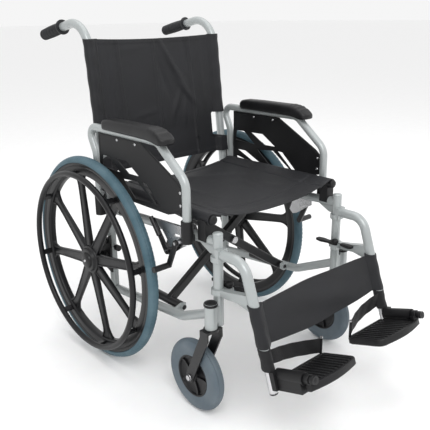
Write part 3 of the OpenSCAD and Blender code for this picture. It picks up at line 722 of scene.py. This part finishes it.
for side, k in SIDES:
    piece(side + "_ribbed_plate", *moved(footplate(), foot_frame(k)), side + "_footplate",
          "black_plastic", sharp=40, replaces=[side + "_footplate"])
    knob = lathe([(0.0, 0.0), (0.006, 0.0002), (0.0085, 0.0014), (0.0098, 0.0035), (0.0098, 0.0110),
                  (0.0090, 0.0125), (0.006, 0.0130), (0.0, 0.0131)], 32, False)
    turn = Matrix.Rotation(math.pi / 2, 4, "Z")
    knob = moved(knob, foot_frame(k) @ Matrix.Translation((0, -0.0702, 0)) @ turn)
    piece(side + "_hinge_knob", *knob, side + "_footplate_pin", "black_plastic")


# ---------------------------------------------------------------- fabric

def crease(u, v, lines):
    """The height of soft folds: each line is (u, v, angle, width, height, reach)."""
    total = 0.0
    for cu, cv, angle, width, height, reach in lines:
        c, s = math.cos(angle), math.sin(angle)
        along = (u - cu) * c + (v - cv) * s
        across = -(u - cu) * s + (v - cv) * c
        total += height * math.exp(-(across / width) ** 2 - (along / reach) ** 2)
    return total


def seat_sling():
    """One sheet from rail to rail: sewn round each rail and sagging between them."""
    wrap = RAIL_R + 0.0019
    front, rear = rail_front + 0.004, rail_back - 0.012
    rows = []
    count, inner = 130, 150
    lines = [(-0.15, 0.05, 1.2, 0.016, 0.0022, 0.09), (0.13, 0.10, 1.9, 0.018, 0.0024, 0.10),
             (-0.05, 0.34, 0.5, 0.020, 0.0018, 0.12), (0.09, 0.30, 2.5, 0.022, 0.0022, 0.12),
             (0.0, 0.02, 0.0, 0.012, 0.0020, 0.16), (-0.12, 0.40, 2.2, 0.016, 0.0020, 0.08),
             (0.10, 0.21, 1.35, 0.014, 0.0026, 0.09), (-0.08, 0.24, 1.75, 0.014, 0.0024, 0.08)]
    for i in range(count + 1):
        v = (rear - front) * i / count
        edge = min(v, rear - front - v)
        hem = 0.0012 if edge < 0.016 else 0.0
        sag = 0.026 + 0.004 * math.cos(math.pi * v / (rear - front))
        row = []
        for k in range(13):
            a = math.radians(-40 - 230 * k / 12)
            row.append(Vector((-rail_x + wrap * math.cos(a), front + v, rail_z + wrap * math.sin(a))))
        for k in range(1, inner):
            u = -rail_x + 2 * rail_x * k / inner
            t = abs(u) / rail_x
            drop = sag * (1 - t ** 2.4)
            pleat = -0.0034 * math.exp(-((v - 0.066 - 0.010 * t) / 0.0032) ** 2)
            pleat -= 0.0030 * math.exp(-((abs(u) - rail_x + 0.046) / 0.0030) ** 2)
            row.append(Vector((u, front + v, rail_z + wrap - drop + hem + pleat * (t < 0.97)
                               + crease(u, v, lines) * (1 - t ** 6))))
        row += [Vector((-p.x, p.y, p.z)) for p in reversed(row[:13])]
        rows.append(row)
    return rows


rows = seat_sling()
verts, faces = thicken(grid(rows), 0.0028)
sling = piece("seat_fabric", verts, faces, "brace_b", "nylon", sharp=60,
              replaces=["right_seat_sling", "left_seat_sling"])
sling.parent = None
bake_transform(sling)


def post_y_at(z):
    """Where the back post's centre line is at a height."""
    return at(0, -8, 0).y + max(0.0, z - 0.440) * math.tan(LEAN)


back_low, back_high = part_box("left_back_upholstery")
BACK_LOW, BACK_HIGH = back_low.z, back_high.z
SLEEVE_LOW, FLAP_TOP = 0.680, 0.603
INNER = frame_x - tube_r - 0.012


def step(z, middle_z, width):
    """0 below a height, 1 above it, with a smooth rise between."""
    t = min(1.0, max(0.0, (z - middle_z) / width + 0.5))
    return t * t * (3 - 2 * t)


def half_width(z):
    """The cloth ends at the sleeves, is notched under them, and covers the posts lower down."""
    notch = INNER - 0.011
    flap = frame_x + 0.011
    return flap + (notch - flap) * step(z, FLAP_TOP, 0.012) + (INNER - notch) * step(z, SLEEVE_LOW, 0.008)


def back_sheet():
    """The back's middle: seams from top to bottom, slack and creased towards the corners."""
    rows = []
    lines = [(0.045, 0.195, 2.05, 0.008, 0.0052, 0.055), (0.075, 0.135, 2.15, 0.011, 0.0058, 0.060),
             (0.105, 0.075, 2.25, 0.010, 0.0046, 0.050), (0.030, 0.110, 1.85, 0.010, -0.0036, 0.060),
             (0.065, 0.040, 1.15, 0.009, 0.0044, 0.040), (0.095, 0.025, 1.45, 0.008, 0.0038, 0.040),
             (0.125, 0.180, 1.75, 0.010, -0.0030, 0.070), (-0.165, 0.120, 1.50, 0.008, 0.0042, 0.130),
             (-0.190, 0.120, 1.62, 0.007, 0.0036, 0.120), (0.170, 0.120, 1.60, 0.008, 0.0036, 0.120),
             (-0.075, 0.215, 0.10, 0.010, 0.0012, 0.050), (-0.060, 0.020, 0.15, 0.010, 0.0014, 0.050)]
    for i in range(129):
        z = BACK_LOW + (BACK_HIGH - BACK_LOW) * i / 128
        v = z - SLEEVE_LOW
        up = max(0.0, v) / (BACK_HIGH - SLEEVE_LOW)
        edge = min(z - BACK_LOW, BACK_HIGH - z)
        width = half_width(z)
        row = []
        for k in range(165):
            u = -width + 2 * width * k / 164
            t = min(1.0, abs(u) / INNER)
            bow = 0.016 * (1 - t ** 2) * (0.8 + 0.4 * up) * (0.35 + 0.65 * step(z, 0.600, 0.10))
            flap = step(abs(u), INNER + 0.004, 0.018) * (1 - step(z, FLAP_TOP + 0.003, 0.020))
            bow -= (tube_r + 0.003) * flap
            seam = sum(0.0036 * math.exp(-((u - s * INNER * 0.64) / 0.0042) ** 2) for s in (-1, 0, 1))
            hem = 0.0010 if edge < 0.014 else 0.0
            dip = -0.006 * (1 - t ** 2) * up ** 6
            row.append(Vector((u, post_y_at(z) + bow - seam - hem - crease(u, v, lines) * (1 - t ** 4),
                               z + dip)))
        rows.append(row)
    return rows


rows = back_sheet()
verts, faces = thicken(grid(rows), 0.0032)
back_fabric = piece("back_fabric", verts, faces, "right_frame", "nylon", sharp=60,
                    replaces=["right_back_upholstery", "left_back_upholstery"])
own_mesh(back_fabric)


def sleeve(low, high, centre_at, radius, reach, k, steps=28):
    """Cloth sewn round a tube, with a flap that reaches inwards. centre_at(z) is the tube's centre."""
    rings = []
    for i in range(steps + 1):
        z = low + (high - low) * i / steps
        c = centre_at(z)
        r = radius + 0.0006 * math.sin(i * 0.9) + (0.0008 if i in (0, 1, steps - 1, steps) else 0)
        ring = [c + Vector((-k * reach, 0.0016, 0)), c + Vector((-k * (reach + 0.001), 0, 0)),
                c + Vector((-k * reach, -0.0016, 0))]
        for j in range(21):
            a = math.radians(50 + 260 * j / 20)
            ring.append(c + Vector((-k * r * math.cos(a), -r * math.sin(a), 0)))
        rings.append(ring)
    return loft(rings)


for side, k in SIDES:
    def post_centre(z, k=k):
        """The back post's centre line on this side."""
        return Vector((k * frame_x, post_y_at(z), z))
    piece(side + "_back_sleeve", *sleeve(SLEEVE_LOW - 0.001, BACK_HIGH + 0.001, post_centre,
                                         tube_r + 0.0022, tube_r + 0.015, k),
          side + "_frame", "nylon", sharp=60)
    seam = [post_centre(SLEEVE_LOW + (BACK_HIGH - SLEEVE_LOW) * i / 30)
            + Vector((-k * (tube_r + 0.0065), -0.0062, 0)) for i in range(31)]
    piece(side + "_back_stitches", *stitches(seam), side + "_frame", "webbing")


hanger_top = at(0, -570, 444)


def hanger_centre(z, k):
    """Where a hanger tube's centre line is at a height."""
    return Vector((k * frame_x, hanger_top.y - (hanger_top.z - z) * math.tan(TILT), z))


strap_low, strap_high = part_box("calf_strap")
HANGER_R = 0.013
STRAP_IN = frame_x - HANGER_R - 0.010


def strap_sheet():
    """The calf strap's middle: deeper at its centre, and slack towards the back."""
    rows = []
    for i in range(31):
        t = i / 30
        row = []
        for j in range(81):
            u = -STRAP_IN + 2 * STRAP_IN * j / 80
            s = 1 - (u / STRAP_IN) ** 2
            z = strap_low.z - 0.017 * s + (strap_high.z - strap_low.z + 0.017 * s) * t
            fold = 0.0020 * math.sin(9 * t + 14 * u) * s + 0.0012 * math.sin(31 * u - 4 * t)
            row.append(Vector((u, hanger_centre(z, 1).y + 0.010 * s + fold * s, z)))
        rows.append(row)
    return rows


rows = strap_sheet()
verts, faces = thicken(grid(rows), 0.0030)
strap = piece("calf_strap_fabric", verts, faces, "right_hanger", "nylon", sharp=60,
              replaces=["calf_strap"])
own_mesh(strap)

for side, k in SIDES:
    def tube_centre(z, k=k):
        """The hanger's centre line on this side."""
        return hanger_centre(z, k)
    piece(side + "_strap_sleeve", *sleeve(strap_low.z - 0.001, strap_high.z + 0.001, tube_centre,
                                          HANGER_R + 0.0024, HANGER_R + 0.013, k, 14),
          side + "_hanger", "nylon", sharp=60)
    piece(side + "_loop_collar", *sleeve(0.2040, 0.2520, tube_centre, HANGER_R + 0.0020,
                                         HANGER_R + 0.006, k, 12),
          side + "_hanger", "webbing", sharp=60)


EXTENSION_R = 0.01062
for side, k in SIDES:
    tube = [hanger_centre(z, k) for z in (0.1496, 0.165, 0.185, 0.205, 0.2352)]
    piece(side + "_extension_sleeve", *sweep(tube, EXTENSION_R, 40), side + "_hanger", "steel")
    along = (tube[0] - tube[-1]).normalized()
    piece(side + "_extension_plug", *plug(tube[0] + along * 0.0004, along, EXTENSION_R - 0.0004),
          side + "_hanger", "black_plastic")
    boss = [(0.0102, -0.0010), (0.0106, 0.0006), (0.0104, 0.0050), (0.0088, 0.0072),
            (0.0050, 0.0082), (0.0, 0.0084)]
    boss = moved(lathe(boss, 36, closed=False),
                 Matrix.Translation(at(k * 208, -496, 359.5)) @ turned(UP))
    paddle = [[at(k * (208 + px), -496 - py, 359.1 + pz) for px, pz in rounded_box(w, h, 1.6, 4)]
              for py, w, h in ((20, 8, 4), (24, 13, 7), (40, 17, 9), (54, 17, 9), (60, 12, 6))]
    piece(side + "_latch_grip", *joined(boss, loft(paddle)), side + "_latch", "black_plastic")


def heel_loop(k):
    """Webbing that bows backwards from the hanger to the plate's rear inner corner."""
    low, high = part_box("left_heel_loop")
    start = Vector((frame_x - 0.0135, hanger_centre(0.218, 1).y + 0.001))
    end = Vector((low.x + 0.0015, at(0, -668.5, 0).y))
    rows = []
    for i in range(13):
        t = i / 12
        row = []
        for j in range(57):
            s = j / 56
            p = start.lerp(end, s)
            sag = 0.013 * math.sin(math.pi * s) if 0 < s < 1 else 0.0
            z = low.z + (high.z - low.z) * t + 0.022 * (1 - s) ** 1.2 - 0.002 * math.sin(math.pi * s)
            row.append(Vector((k * p.x, p.y + sag + 0.0006 * math.sin(24 * s + 3 * t), z)))
        rows.append(row)
    return rows


for side, k in SIDES:
    rows = heel_loop(k)
    verts, faces = thicken(grid(rows), 0.0022)
    loop = piece(side + "_heel_webbing", verts, faces, side + "_footplate", "webbing", sharp=60,
                 replaces=[side + "_heel_loop"])
    loop.parent = None
    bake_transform(loop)
    foot = rows[6][-1]
    stake = sweep([foot + Vector((0, 0, z)) for z in (-0.026, -0.010, 0.008, 0.0205)], 0.0034, 14)
    piece(side + "_loop_stake", *stake, side + "_footplate", "black_plastic")
    tip = sweep([foot + Vector((0, 0, z)) for z in (0.0205, 0.0225, 0.0245)], 0.0038, 14)
    piece(side + "_loop_tip", *tip, side + "_footplate", "steel")


# ---------------------------------------------------------------- floor and light

FLOOR = 60  # half the floor's width


def stage():
    """A pale floor and soft studio light."""
    mesh = bpy.data.meshes.new("floor")
    mesh.from_pydata([(-FLOOR, -FLOOR, 0), (FLOOR, -FLOOR, 0), (FLOOR, FLOOR, 0), (-FLOOR, FLOOR, 0)],
                     [], [(0, 1, 2, 3)])
    floor = bpy.data.objects.new("floor", mesh)
    bpy.context.scene.collection.objects.link(floor)
    floor.data.materials.append(procedural("floor_paint", (0.95, 0.95, 0.95), 0.85, 40, 0.02,
                                           spread=0.01))
    world = bpy.data.worlds.new("studio")
    world.use_nodes = True
    world.node_tree.nodes["Background"].inputs["Color"].default_value = (1, 1, 1, 1)
    world.node_tree.nodes["Background"].inputs["Strength"].default_value = 0.92
    bpy.context.scene.world = world
    bpy.context.scene.view_settings.view_transform = "Standard"
    for name, place, size, power in (("key", (-1.6, -2.2, 3.2), 2.0, 62),
                                     ("fill", (2.6, -1.6, 2.2), 2.4, 14),
                                     ("top", (0.2, 0.4, 3.4), 2.6, 26)):
        lamp = bpy.data.lights.new(name, "AREA")
        lamp.energy, lamp.size = power, size
        obj = bpy.data.objects.new(name, lamp)
        bpy.context.scene.collection.objects.link(obj)
        obj.location = place
        aim = Vector((0, 0, 0.5)) - Vector(place)
        obj.rotation_mode = "QUATERNION"
        obj.rotation_quaternion = aim.to_track_quat("-Z", "Y")


stage()
